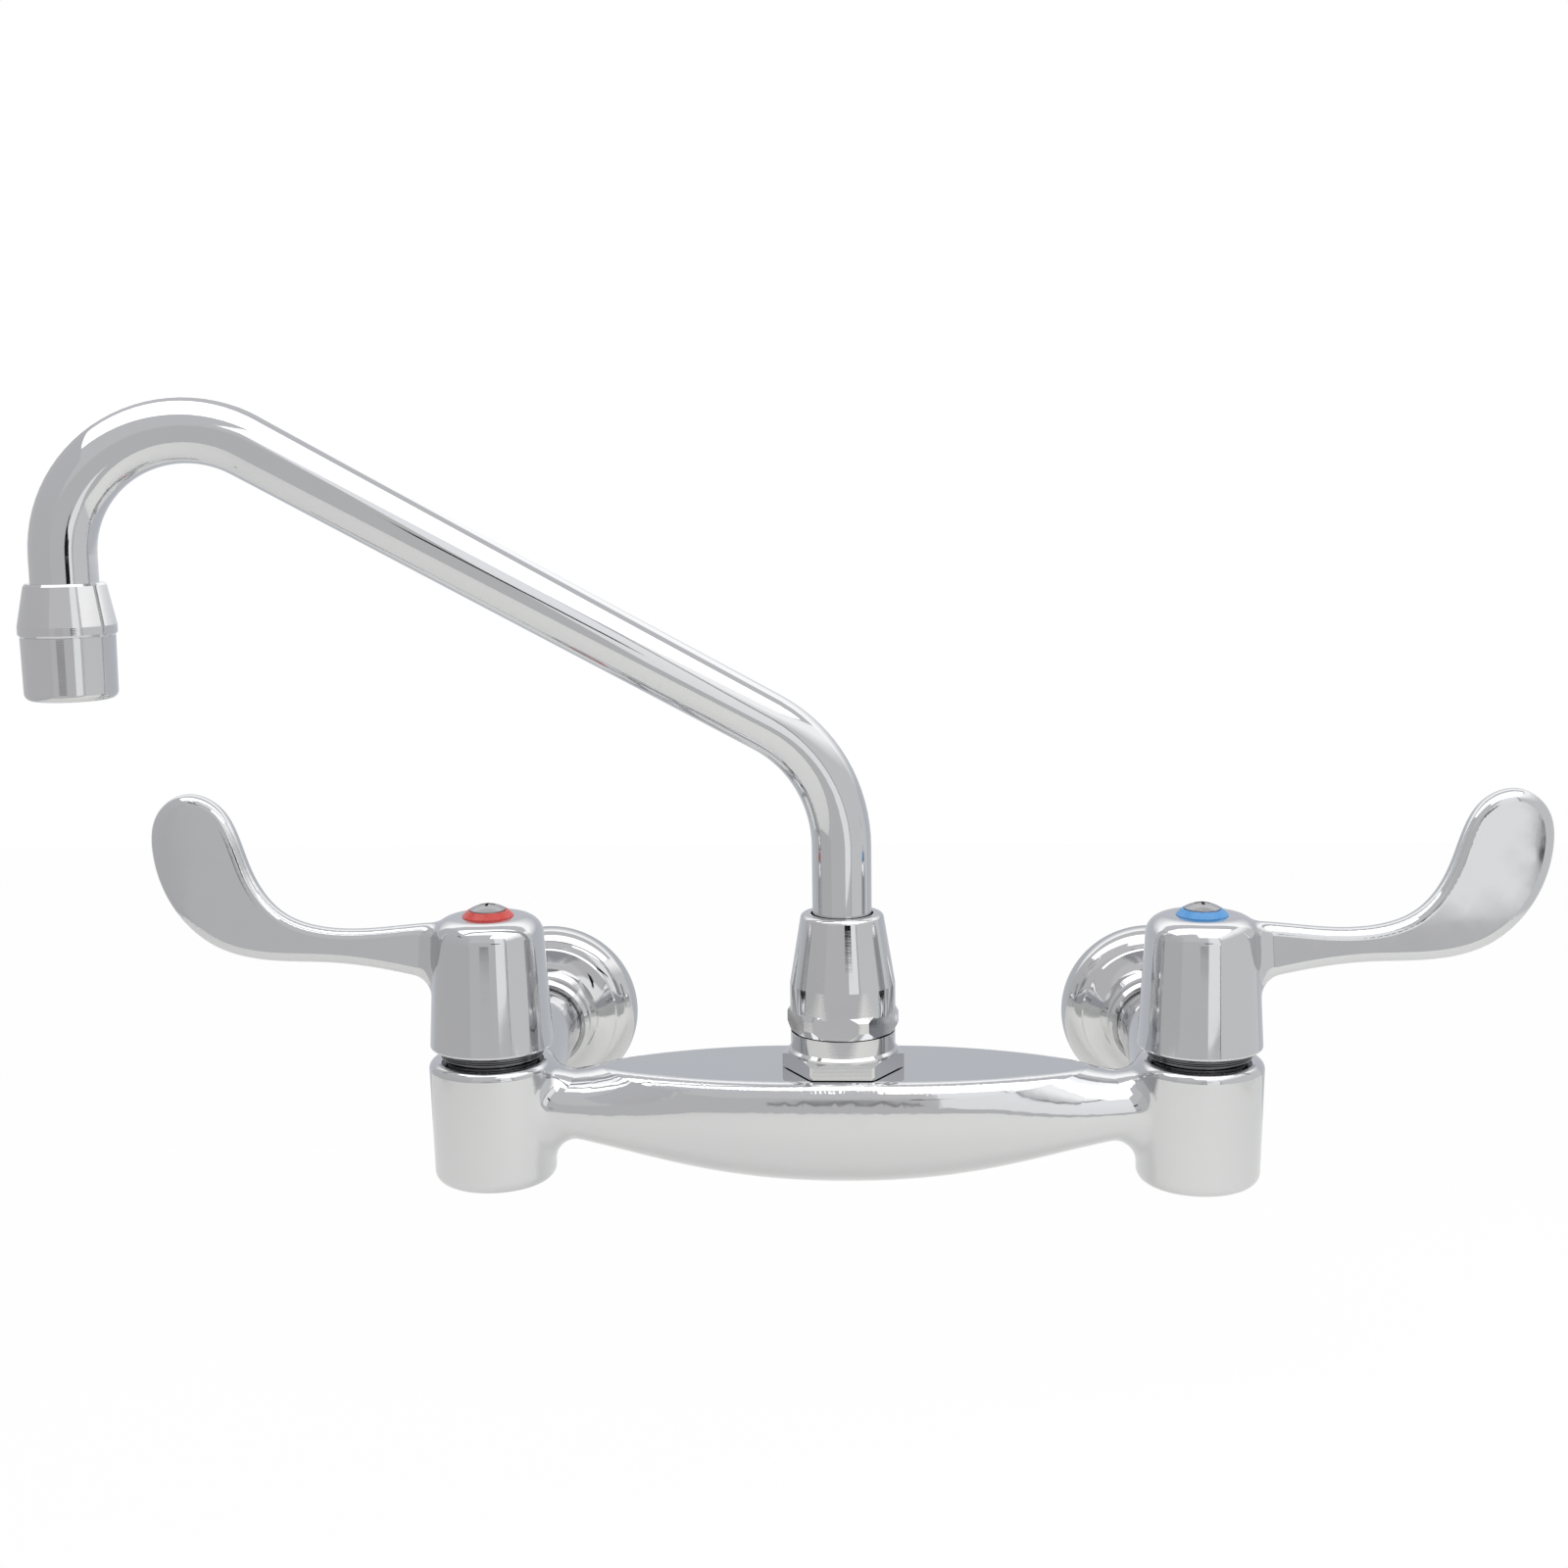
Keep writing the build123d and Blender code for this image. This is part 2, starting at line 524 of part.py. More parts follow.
with BuildPart() as hot_handle:
    with BuildSketch(hot_valve) as hub_half:
        with BuildLine():
            Polyline((0, HUB_RIM_Z), (HUB_RIM_R, HUB_RIM_Z), (HUB_SHOULDER_R, HUB_TOP), (0, HUB_TOP),
                     close=True)
        make_face()
        fillet(hub_half.vertices().group_by(Axis.Y)[-1].sort_by(Axis.X)[-1], HUB_ROUND)
        fillet(hub_half.vertices().group_by(Axis.Y)[0].sort_by(Axis.X)[-1], HUB_RIM_ROUND)
    revolve(axis=Axis(hot_valve.origin, hot_valve.y_dir))
    add(blade.part)
    fillet(hot_handle.edges().filter_by(is_blade_root), BLADE_ROOT_ROUND)
    turn(hot_valve, HUB_CAVITY, Mode.SUBTRACT)
    ring(hot_valve, 0, HUB_BOSS_R, HUB_BOSS_BOTTOM, HUB_CAVITY_TOP + 0.5)
    with BuildSketch(Plane.XY.offset(HUB_BOSS_BOTTOM)):
        with Locations((-VALVE_X, VALVE_Y)):
            Rectangle(DRIVE_SQUARE, DRIVE_SQUARE)
    extrude(amount=STEM_TOP - HUB_BOSS_BOTTOM, mode=Mode.SUBTRACT)
    ring(hot_valve, 0, SCREW_HOLE_R, STEM_TOP, HUB_TOP + 1, Mode.SUBTRACT)
    ring(hot_valve, 0, RING_R, HUB_TOP - RING_RECESS, HUB_TOP + 1, Mode.SUBTRACT)
save(hot_handle, "hot_handle")

with BuildPart() as cold_handle:
    mirror(hot_handle.part, about=Plane.YZ)
save(cold_handle, "cold_handle")


def make_handle_trim(side, name):
    """Index ring and screw on top of one handle."""
    valve = upright(side * VALVE_X, VALVE_Y)
    with BuildPart() as index_ring:
        turn(valve, ((RING_BORE_R, HUB_TOP - RING_RECESS), (RING_R, HUB_TOP - RING_RECESS),
                     (RING_R, HUB_TOP + 0.2), (RING_TOP_R, RING_TOP), (RING_BORE_R, RING_TOP)))
    save(index_ring, f"{name}_index_ring")

    with BuildPart() as screw:
        with BuildSketch(valve):
            with BuildLine():
                Polyline((0, SCREW_HEAD_TOP), (0, SCREW_END), (SCREW_R, SCREW_END),
                         (SCREW_R, HUB_TOP - RING_RECESS), (SCREW_HEAD_R, HUB_TOP - RING_RECESS),
                         (SCREW_HEAD_R, SCREW_HEAD_SIDE))
                ThreePointArc((SCREW_HEAD_R, SCREW_HEAD_SIDE), SCREW_HEAD_DOME, (0, SCREW_HEAD_TOP))
            make_face()
        revolve(axis=Axis(valve.origin, valve.y_dir))
        with BuildSketch(Plane.XY.offset(SCREW_HEAD_TOP - SCREW_RECESS_DEPTH)):
            with Locations((side * VALVE_X, VALVE_Y)):
                Rectangle(SCREW_RECESS[0], SCREW_RECESS[1])
                Rectangle(SCREW_RECESS[1], SCREW_RECESS[0])
        extrude(amount=SCREW_RECESS_DEPTH + 1, mode=Mode.SUBTRACT)
    save(screw, f"{name}_handle_screw")


for side, name in SIDES:
    make_wall_connection(side, name)
    make_cartridge(side, name)
    make_stem(side, name)
    make_handle_trim(side, name)


# Spout adapter: hexagon, plain neck and threaded spigot, screwed into the flat of the bridge
spout_axis = upright(SPOUT_X, SPOUT_Y)
with BuildPart() as spout_adapter:
    with BuildSketch(Plane.XY.offset(ADAPTER_BOTTOM)):
        with Locations((SPOUT_X, SPOUT_Y)):
            RegularPolygon(ADAPTER_HEX / 2, 6, major_radius=False)
    extrude(amount=ADAPTER_HEX_TOP - ADAPTER_BOTTOM)
    turn(spout_axis, ((0, ADAPTER_BOTTOM), (ADAPTER_R, ADAPTER_BOTTOM),
                      (ADAPTER_R, ADAPTER_HEX_TOP - ADAPTER_CHAMFER[1]),
                      (ADAPTER_R - ADAPTER_CHAMFER[0], ADAPTER_HEX_TOP), (0, ADAPTER_HEX_TOP)),
         Mode.INTERSECT)
    ring(spout_axis, 0, SPOUT_BOSS_R - 0.05, ADAPTER_SHANK_BOTTOM, ADAPTER_BOTTOM)
    turn(spout_axis, ((0, ADAPTER_HEX_TOP), (ADAPTER_STEP_R, ADAPTER_HEX_TOP),
                      (ADAPTER_STEP_R, ADAPTER_HEX_TOP + ADAPTER_STEP),
                      (ADAPTER_NECK_R, ADAPTER_HEX_TOP + 2 * ADAPTER_STEP),
                      (ADAPTER_NECK_R, ADAPTER_NECK_TOP),
                      (SPIGOT_R, ADAPTER_NECK_TOP), (SPIGOT_R, SPIGOT_TOP), (0, SPIGOT_TOP)))
    ring(spout_axis, 0, ADAPTER_BORE_R, ADAPTER_SHANK_BOTTOM - 1, SOCKET_FLOOR, Mode.SUBTRACT)
    ring(spout_axis, 0, SOCKET_R, SOCKET_FLOOR, SPIGOT_TOP + 1, Mode.SUBTRACT)
    ring(spout_axis, SEAL_RING_R - 1, SEAL_RING_R + 1, ADAPTER_BOTTOM - 1, BRIDGE_TOP + 2 * SEAL_WIRE_R,
         Mode.SUBTRACT)
save(spout_adapter, "spout_adapter")

with BuildPart() as adapter_seal:
    seal(spout_axis, SEAL_RING_R, BRIDGE_TOP + SEAL_WIRE_R, SEAL_WIRE_R)
save(adapter_seal, "adapter_o_ring")

# Spout collar: bell-shaped nut with a hexagon at its foot, a plain band and a long cone
with BuildPart() as spout_collar:
    with BuildSketch(Plane.XY.offset(COLLAR_BOTTOM)):
        with Locations((SPOUT_X, SPOUT_Y)):
            RegularPolygon(COLLAR_HEX / 2, 6, major_radius=False, rotation=COLLAR_HEX_TURN)
    extrude(amount=COLLAR_HEX_TOP - COLLAR_BOTTOM)
    turn(spout_axis, ((0, COLLAR_BOTTOM), (COLLAR_FOOT_R, COLLAR_BOTTOM),
                      (COLLAR_HEX_R, COLLAR_BOTTOM + COLLAR_FOOT_CHAMFER),
                      (COLLAR_HEX_R, COLLAR_HEX_TOP - COLLAR_HEX_CHAMFER), (COLLAR_BAND_R, COLLAR_HEX_TOP),
                      (0, COLLAR_HEX_TOP)), Mode.INTERSECT)
    with BuildSketch(spout_axis) as bell_half:
        with BuildLine():
            Polyline((0, COLLAR_HEX_TOP - 0.6), (COLLAR_BAND_R, COLLAR_HEX_TOP - 0.6),
                     (COLLAR_BAND_R, COLLAR_BAND_TOP), (COLLAR_TOP_R, COLLAR_TOP), (0, COLLAR_TOP),
                     close=True)
        make_face()
        fillet(bell_half.vertices().group_by(Axis.Y)[-1].sort_by(Axis.X)[-1], COLLAR_LIP)
    revolve(axis=Axis(spout_axis.origin, spout_axis.y_dir))
    ring(spout_axis, 0, COLLAR_THREAD_R, COLLAR_BOTTOM - 1, SLIP_RING_TOP, Mode.SUBTRACT)
    ring(spout_axis, 0, COLLAR_BORE_R, SLIP_RING_TOP, COLLAR_TOP + 1, Mode.SUBTRACT)
save(spout_collar, "spout_collar")

with BuildPart() as slip_ring:
    ring(spout_axis, TUBE_R + SLIP_RING_CLEARANCE, COLLAR_THREAD_R - 0.1, SLIP_RING_BOTTOM, SLIP_RING_TOP)
save(slip_ring, "spout_slip_ring")

# Spout tube: up, forward along a straight rising run, and plumb down again at the outlet
swing = radians(SPOUT_SWING)
forward = Vector(-cos(swing), -sin(swing), 0)
spout_side = Plane(origin=(SPOUT_X, SPOUT_Y, 0), x_dir=forward, z_dir=forward.cross(Vector(0, 0, 1)))
with BuildPart() as spout_tube:
    with BuildLine(spout_side) as tube_path:
        FilletPolyline((0, TUBE_START_Z), (0, LOWER_CORNER_Z), (SPOUT_REACH, UPPER_CORNER_Z),
                       (SPOUT_REACH, TUBE_END_Z), radius=[LOWER_BEND_R, UPPER_BEND_R])
    with BuildSketch(Plane(origin=(SPOUT_X, SPOUT_Y, TUBE_START_Z), z_dir=(0, 0, 1))):
        Circle(TUBE_R)
        Circle(TUBE_R - TUBE_WALL, mode=Mode.SUBTRACT)
    sweep()
save(spout_tube, "spout_tube")

with BuildPart() as ferrule:
    turn(spout_axis, ((FERRULE_BORE_R, FERRULE_BOTTOM), (FERRULE_R, FERRULE_BOTTOM),
                      (FERRULE_R, FERRULE_FLANGE_BOTTOM), (FERRULE_FLANGE_R, FERRULE_FLANGE_BOTTOM),
                      (FERRULE_FLANGE_R, FERRULE_TOP), (TUBE_R, FERRULE_TOP), (TUBE_R, TUBE_START_Z),
                      (FERRULE_BORE_R, TUBE_START_Z)))
    for height in O_RING_HEIGHTS:
        ring(spout_axis, FERRULE_R - 2 * O_RING_WIRE_R, FERRULE_R + 1, height - O_RING_GROOVE / 2,
             height + O_RING_GROOVE / 2, Mode.SUBTRACT)
save(ferrule, "spout_ferrule")

with BuildPart() as spout_seals:
    for height in O_RING_HEIGHTS:
        seal(spout_axis, FERRULE_R - O_RING_WIRE_R, height, O_RING_WIRE_R)
save(spout_seals, "spout_o_rings")

# Outlet pieces, drawn on the axis of the tube's end: x is the radius, y runs down from the end
tube_end = spout_side.from_local_coords((SPOUT_REACH, TUBE_END_Z, 0))
outlet = Plane(origin=tube_end, x_dir=(1, 0, 0), z_dir=(0, 1, 0))


def outlet_level(distance):
    """A level drawing plane facing down, the given distance below the tube's end."""
    return Plane(origin=tube_end - Vector(0, 0, distance), x_dir=forward, z_dir=(0, 0, -1))


def pierce(level, depth, hole, pitch, radius):
    """Cut a square grid of square holes inside a circle, from a level down."""
    steps = range(-int(radius / pitch), int(radius / pitch) + 1)
    with BuildSketch(level) as grid:
        for row in steps:
            for column in steps:
                if (abs(row * pitch) + hole / 2) ** 2 + (abs(column * pitch) + hole / 2) ** 2 < radius ** 2:
                    with Locations((row * pitch, column * pitch)):
                        Rectangle(hole, hole)
    extrude(grid.sketch, amount=depth, mode=Mode.SUBTRACT)


with BuildPart() as outlet_cone:
    turn(outlet, ((TUBE_R, CONE_TOP), (CONE_TOP_R - 0.5, CONE_TOP), (CONE_TOP_R, CONE_TOP + 0.6),
                  (CONE_BOTTOM_R, CONE_BOTTOM - 2.6), (CONE_BOTTOM_R, CONE_BOTTOM - 0.5),
                  (CONE_BOTTOM_R - 0.4, CONE_BOTTOM), (AERATOR_THREAD_R, CONE_BOTTOM),
                  (AERATOR_THREAD_R, CONE_LEDGE), (TUBE_R - TUBE_WALL, CONE_LEDGE), (TUBE_R - TUBE_WALL, 0),
                  (TUBE_R, 0)))
save(outlet_cone, "outlet_cone")

with BuildPart() as aerator_washer:
    ring(outlet, TUBE_R - 1, AERATOR_THREAD_R - 0.1, CONE_LEDGE, AERATOR_WASHER_BOTTOM)
save(aerator_washer, "aerator_washer")

with BuildPart() as aerator_shell:
    with BuildSketch(outlet) as shell_half:
        with BuildLine():
            Polyline((SHELL_BORE_R, AERATOR_WASHER_BOTTOM), (AERATOR_THREAD_R - 0.05, AERATOR_WASHER_BOTTOM),
                     (AERATOR_THREAD_R - 0.05, SHELL_TOP), (SHELL_TOP_R, SHELL_TOP),
                     (SHELL_BOTTOM_R, SHELL_BOTTOM), (SHELL_LIP_R, SHELL_BOTTOM),
                     (SHELL_LIP_R, SHELL_LIP_TOP), (SHELL_BORE_R, SHELL_LIP_TOP), close=True)
        make_face()
        fillet(shell_half.vertices().group_by(Axis.Y)[-1].sort_by(Axis.X)[-1], SHELL_ROUND)
    revolve(axis=Axis(outlet.origin, outlet.y_dir))
save(aerator_shell, "aerator_shell")

with BuildPart() as aerator_screen:
    ring(outlet, 0, SHELL_BORE_R - 0.05, AERATOR_WASHER_BOTTOM, SCREEN_BOTTOM)
    pierce(outlet_level(AERATOR_WASHER_BOTTOM - 1), 2, SCREEN_HOLE, SCREEN_PITCH, SHELL_BORE_R - 1)
save(aerator_screen, "aerator_screen")

with BuildPart() as aerator_insert:
    ring(outlet, 0, SHELL_BORE_R - 0.05, SCREEN_BOTTOM, SHELL_LIP_TOP)
    ring(outlet, 0, SHELL_BORE_R - INSERT_WALL, SCREEN_BOTTOM - 1, INSERT_GRID_TOP, Mode.SUBTRACT)
    pierce(outlet_level(INSERT_GRID_TOP - 1), SHELL_LIP_TOP - INSERT_GRID_TOP + 2, INSERT_HOLE, INSERT_PITCH,
           SHELL_BORE_R - INSERT_WALL)
save(aerator_insert, "aerator_insert")
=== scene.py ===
import math

import bpy
from mathutils import Matrix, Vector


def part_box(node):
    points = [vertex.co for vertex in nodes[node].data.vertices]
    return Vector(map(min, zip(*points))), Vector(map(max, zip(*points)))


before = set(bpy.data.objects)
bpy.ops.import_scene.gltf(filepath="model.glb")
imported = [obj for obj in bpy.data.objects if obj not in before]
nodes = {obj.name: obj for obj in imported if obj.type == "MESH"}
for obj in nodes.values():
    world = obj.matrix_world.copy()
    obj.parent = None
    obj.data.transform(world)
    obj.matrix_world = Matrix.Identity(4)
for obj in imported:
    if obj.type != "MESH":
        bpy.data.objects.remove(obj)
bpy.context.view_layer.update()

# Body casting: two valve barrels, two inlet arms and the boat-shaped bridge between them, in one piece
# of sand-cast brass. It is ground and buffed by hand, then plated with bright chrome over nickel.
CHROME = (0.645, 0.645, 0.65)
CHROME_DRIFT = (0.615, 0.62, 0.635)
BUFFED_GLOSS = 0.06
BODY_WAVES = 0.000012


def finish(name, colour, metal, gloss):
    """A new finish with one shader: its material, its node tree and the shader itself."""
    made = bpy.data.materials.new(name)
    made.use_nodes = True
    shader = made.node_tree.nodes["Principled BSDF"]
    shader.inputs["Base Color"].default_value = (*colour, 1)
    shader.inputs["Metallic"].default_value = metal
    shader.inputs["Roughness"].default_value = gloss
    return made, made.node_tree, shader


def join(tree, output, target):
    """Connect a node's output to another node's input."""
    tree.links.new(output, target)


def place(tree, stretch=(1, 1, 1), centre=(0, 0, 0)):
    """The piece's own coordinates in metres from a centre, stretched by a factor along each axis."""
    own = tree.nodes.new("ShaderNodeTexCoord")
    moved = tree.nodes.new("ShaderNodeMapping")
    moved.inputs["Location"].default_value = [-c * s for c, s in zip(centre, stretch)]
    moved.inputs["Scale"].default_value = stretch
    join(tree, own.outputs["Object"], moved.inputs["Vector"])
    return moved.outputs["Vector"]


def cloud(tree, where, per_metre, detail=2.0):
    """Soft blotches, so many to the metre, with so many finer layers over them."""
    noise = tree.nodes.new("ShaderNodeTexNoise")
    noise.inputs["Scale"].default_value = per_metre
    noise.inputs["Detail"].default_value = detail
    join(tree, where, noise.inputs["Vector"])
    return noise.outputs["Fac"]


def spread(tree, value, low, high, start=0.3, end=0.7):
    """Turn the part of a pattern between start and end into a range of values."""
    ranged = tree.nodes.new("ShaderNodeMapRange")
    ranged.inputs["From Min"].default_value = start
    ranged.inputs["From Max"].default_value = end
    ranged.inputs["To Min"].default_value = low
    ranged.inputs["To Max"].default_value = high
    join(tree, value, ranged.inputs["Value"])
    return ranged.outputs["Result"]


def relief(tree, shader, value, depth, under=None):
    """Raise and sink the surface by a pattern, up to a depth in metres, over an earlier relief."""
    bump = tree.nodes.new("ShaderNodeBump")
    bump.inputs["Strength"].default_value = 1.0
    bump.inputs["Distance"].default_value = depth
    join(tree, value, bump.inputs["Height"])
    if under is not None:
        join(tree, under, bump.inputs["Normal"])
    join(tree, bump.outputs["Normal"], shader.inputs["Normal"])
    return bump.outputs["Normal"]


def fade(tree, value, colour, other):
    """One colour where a value is 0 and another where it is 1."""
    mixed = tree.nodes.new("ShaderNodeMix")
    mixed.data_type = "RGBA"
    mixed.inputs["A"].default_value = (*colour, 1)
    mixed.inputs["B"].default_value = (*other, 1)
    join(tree, value, mixed.inputs["Factor"])
    return mixed.outputs["Result"]


def tinge(tree, shader, value, colour, other):
    """Let the colour drift between two near ones by a pattern."""
    join(tree, fade(tree, value, colour, other), shader.inputs["Base Color"])


def dress(material, *names):
    """Give CAD nodes a finish."""
    for name in names:
        node = nodes[name]
        node.data.materials.clear()
        node.data.materials.append(material)


def buffed_plate(name, wave_depth):
    """Bright chrome on a casting buffed by hand: long soft waves and faint buffing marks."""
    made, tree, shader = finish(name, CHROME, metal=1.0, gloss=BUFFED_GLOSS)
    waves = relief(tree, shader, cloud(tree, place(tree), per_metre=55, detail=1.0), wave_depth)
    marks = cloud(tree, place(tree, stretch=(1, 0.15, 0.15)), per_metre=2600)
    relief(tree, shader, marks, depth=0.0000006, under=waves)
    gloss = cloud(tree, place(tree), per_metre=120, detail=3.0)
    join(tree, spread(tree, gloss, BUFFED_GLOSS * 0.6, BUFFED_GLOSS * 1.7), shader.inputs["Roughness"])
    tinge(tree, shader, cloud(tree, place(tree), per_metre=30), CHROME, CHROME_DRIFT)
    return made


body_plate = buffed_plate("buffed chrome plate on the body", BODY_WAVES)
dress(body_plate, "body_casting")


# Inlet unions, washers, coupling nuts, snap rings and flanges: the wall connection of each side. The unions
# are plain turned brass, the nuts and the pressed flanges are chrome plated, the washers are black rubber.
SIDES = ("hot", "cold")
BRASS = (0.72, 0.53, 0.27)
RUBBER = (0.028, 0.028, 0.030)
RUBBER_GLOSS = 0.62
STAINLESS = (0.56, 0.56, 0.57)
RING_STEP_AT_SCALE_1 = 0.314


def turned_metal(name, colour, gloss, axis, pitch, depth, centre=(0, 0, 0)):
    """Metal turned on a lathe: fine rings round the axis, as flat faces and round sides show them."""
    made, tree, shader = finish(name, colour, metal=1.0, gloss=gloss)
    where = place(tree, centre=centre)
    sides = tree.nodes.new("ShaderNodeTexWave")
    sides.bands_direction = axis
    faces = tree.nodes.new("ShaderNodeTexWave")
    faces.wave_type = "RINGS"
    faces.rings_direction = axis
    under = None
    for rings in (sides, faces):
        rings.inputs["Scale"].default_value = RING_STEP_AT_SCALE_1 / pitch
        rings.inputs["Distortion"].default_value = 0.6
        join(tree, where, rings.inputs["Vector"])
        under = relief(tree, shader, rings.outputs["Fac"], depth, under)
    blotches = cloud(tree, place(tree), per_metre=150, detail=3.0)
    join(tree, spread(tree, blotches, gloss * 0.7, gloss * 1.5), shader.inputs["Roughness"])
    tinge(tree, shader, cloud(tree, place(tree), per_metre=60), colour, [c * 0.94 for c in colour])
    return made


def soft_rubber(name, colour):
    """Moulded rubber: dull and finely pitted."""
    made, tree, shader = finish(name, colour, metal=0.0, gloss=RUBBER_GLOSS)
    relief(tree, shader, cloud(tree, place(tree), per_metre=2500, detail=3.0), depth=0.00002)
    tinge(tree, shader, cloud(tree, place(tree), per_metre=300), colour, [c * 1.8 for c in colour])
    patches = cloud(tree, place(tree), per_metre=500)
    join(tree, spread(tree, patches, low=0.5, high=0.75), shader.inputs["Roughness"])
    return made


wall_plate = turned_metal("chrome plate on turned wall parts", CHROME, gloss=0.05, axis="Y",
                          pitch=0.0004, depth=0.0000012)
wall_brass = turned_metal("turned brass on the wall axis", BRASS, gloss=0.24, axis="Y",
                          pitch=0.0003, depth=0.000003)
rubber = soft_rubber("black nitrile rubber", RUBBER)
spring_steel = turned_metal("stainless spring steel", STAINLESS, gloss=0.20, axis="Y",
                            pitch=0.0002, depth=0.000002)
for side in SIDES:
    dress(wall_plate, f"{side}_flange", f"{side}_coupling_nut")
    dress(wall_brass, f"{side}_inlet_union")
    dress(rubber, f"{side}_union_washer")
    dress(spring_steel, f"{side}_snap_ring")


# Valves: a ceramic disc cartridge in each barrel, held down by a chrome plated bonnet nut whose grooved
# collar sits in the shade under the hub, painted near-black as painted shade. The housings and stems are
# turned brass, the discs are lapped ceramic.
CERAMIC = (0.86, 0.86, 0.83)
CERAMIC_DRIFT = (0.80, 0.80, 0.77)
# Painted shade: the bonnet nuts' chrome is given a near-black colour for the shadow in the gap under the hub.
BONNET_CHROME_PAINTED_SHADE = (0.16, 0.16, 0.165)
bonnet_painted_shade_plate = turned_metal("chrome with painted shade on the bonnet nuts", BONNET_CHROME_PAINTED_SHADE, gloss=0.14, axis="Z",
                            pitch=0.0004, depth=0.000003)
valve_brass = turned_metal("turned brass on the valve axis", BRASS, gloss=0.22, axis="Z",
                           pitch=0.0003, depth=0.000003)
ceramic, ceramic_tree, ceramic_shader = finish("lapped white ceramic", CERAMIC, metal=0.0, gloss=0.12)
ceramic_grain = cloud(ceramic_tree, place(ceramic_tree), per_metre=4000)
relief(ceramic_tree, ceramic_shader, ceramic_grain, depth=0.000001)
ceramic_shades = cloud(ceramic_tree, place(ceramic_tree), per_metre=400)
tinge(ceramic_tree, ceramic_shader, ceramic_shades, CERAMIC, CERAMIC_DRIFT)
for side in SIDES:
    dress(bonnet_painted_shade_plate, f"{side}_bonnet_nut")
    dress(valve_brass, f"{side}_cartridge_housing", f"{side}_stem")
    dress(ceramic, f"{side}_fixed_disc", f"{side}_moving_disc")
    dress(rubber, f"{side}_seat_seal", f"{side}_cartridge_o_ring")


# Handles: hub and wrist blade in one zinc casting, polished and chrome plated. Each is pressed on the stem's
# square and held by one screw, over a coloured ring that says hot or cold.
HOT_RED = (0.53, 0.05, 0.04)
COLD_BLUE = (0.055, 0.23, 0.50)
RING_GLOSS = 0.25
SCREW_STEEL = (0.40, 0.40, 0.41)
HANDLE_WAVES = 0.00005
handle_plate = buffed_plate("buffed chrome plate on the handles", HANDLE_WAVES)


def moulded_plastic(name, colour, gloss):
    """Moulded plastic: an even colour with faint flow marks and a slightly uneven gloss."""
    made, tree, shader = finish(name, colour, metal=0.0, gloss=gloss)
    relief(tree, shader, cloud(tree, place(tree), per_metre=900, detail=3.0), depth=0.000012)
    paler = [min(1.0, c * 1.12 + 0.006) for c in colour]
    tinge(tree, shader, cloud(tree, place(tree), per_metre=250), colour, paler)
    patches = cloud(tree, place(tree), per_metre=600)
    join(tree, spread(tree, patches, gloss * 0.75, gloss * 1.35), shader.inputs["Roughness"])
    return made


ring_finish = {"hot": moulded_plastic("red index plastic", HOT_RED, RING_GLOSS),
               "cold": moulded_plastic("blue index plastic", COLD_BLUE, RING_GLOSS)}
screw_steel = turned_metal("satin stainless screw", SCREW_STEEL, gloss=0.30, axis="Z",
                           pitch=0.0002, depth=0.000002)
for side in SIDES:
    dress(handle_plate, f"{side}_handle")
    dress(ring_finish[side], f"{side}_index_ring")
    dress(screw_steel, f"{side}_handle_screw")


# Spout seat: the adapter screwed into the bridge and the bell-shaped collar over it, both turned brass with
# bright chrome. Inside, the ferrule brazed on the tube turns in two O-rings under a white slip ring.
SPOUT_AXIS = (0.0, -0.0875, 0.0)
SLIP_WHITE = (0.80, 0.80, 0.77)
seat_plate = turned_metal("chrome plate on turned spout parts", CHROME, gloss=0.05, axis="Z",
                          pitch=0.0004, depth=0.0000012, centre=SPOUT_AXIS)
slip_white = moulded_plastic("white slip ring plastic", SLIP_WHITE, gloss=0.35)
dress(seat_plate, "spout_adapter", "spout_collar")
dress(rubber, "adapter_o_ring", "spout_o_rings")
dress(slip_white, "spout_slip_ring")
dress(valve_brass, "spout_ferrule")


# Spout tube: seamless brass tube, bent cold over a mandrel, polished along its length and chrome plated.
tube_plate, tube_tree, tube_shader = finish("chrome plate on drawn tube", CHROME, metal=1.0, gloss=0.04)
tube_bend_waves = cloud(tube_tree, place(tube_tree), per_metre=26, detail=1.0)
tube_waves = relief(tube_tree, tube_shader, tube_bend_waves, depth=0.00004)
tube_marks = cloud(tube_tree, place(tube_tree, stretch=(0.1, 1, 0.1)), per_metre=2600)
relief(tube_tree, tube_shader, tube_marks, depth=0.0000006, under=tube_waves)
tube_gloss = cloud(tube_tree, place(tube_tree), per_metre=90, detail=3.0)
join(tube_tree, spread(tube_tree, tube_gloss, low=0.025, high=0.065), tube_shader.inputs["Roughness"])
tinge(tube_tree, tube_shader, cloud(tube_tree, place(tube_tree), per_metre=18), CHROME, CHROME_DRIFT)
dress(tube_plate, "spout_tube")


# Outlet: a turned cone brazed on the end of the tube, and the aerator screwed into it: a plated brass shell
# that holds a rubber washer, a steel screen and a grey plastic insert.
outlet_low, outlet_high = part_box("outlet_cone")
OUTLET_AXIS = tuple((outlet_low + outlet_high) / 2)
INSERT_GREY = (0.30, 0.31, 0.33)
outlet_plate = turned_metal("chrome plate on the outlet", CHROME, gloss=0.06, axis="Z",
                            pitch=0.0004, depth=0.0000015, centre=OUTLET_AXIS)
insert_grey = moulded_plastic("grey aerator plastic", INSERT_GREY, gloss=0.4)
screen_steel = turned_metal("stainless aerator screen", STAINLESS, gloss=0.24, axis="Z",
                            pitch=0.0003, depth=0.000002, centre=OUTLET_AXIS)
dress(outlet_plate, "outlet_cone", "aerator_shell")
dress(rubber, "aerator_washer")
dress(screen_steel, "aerator_screen")
dress(insert_grey, "aerator_insert")


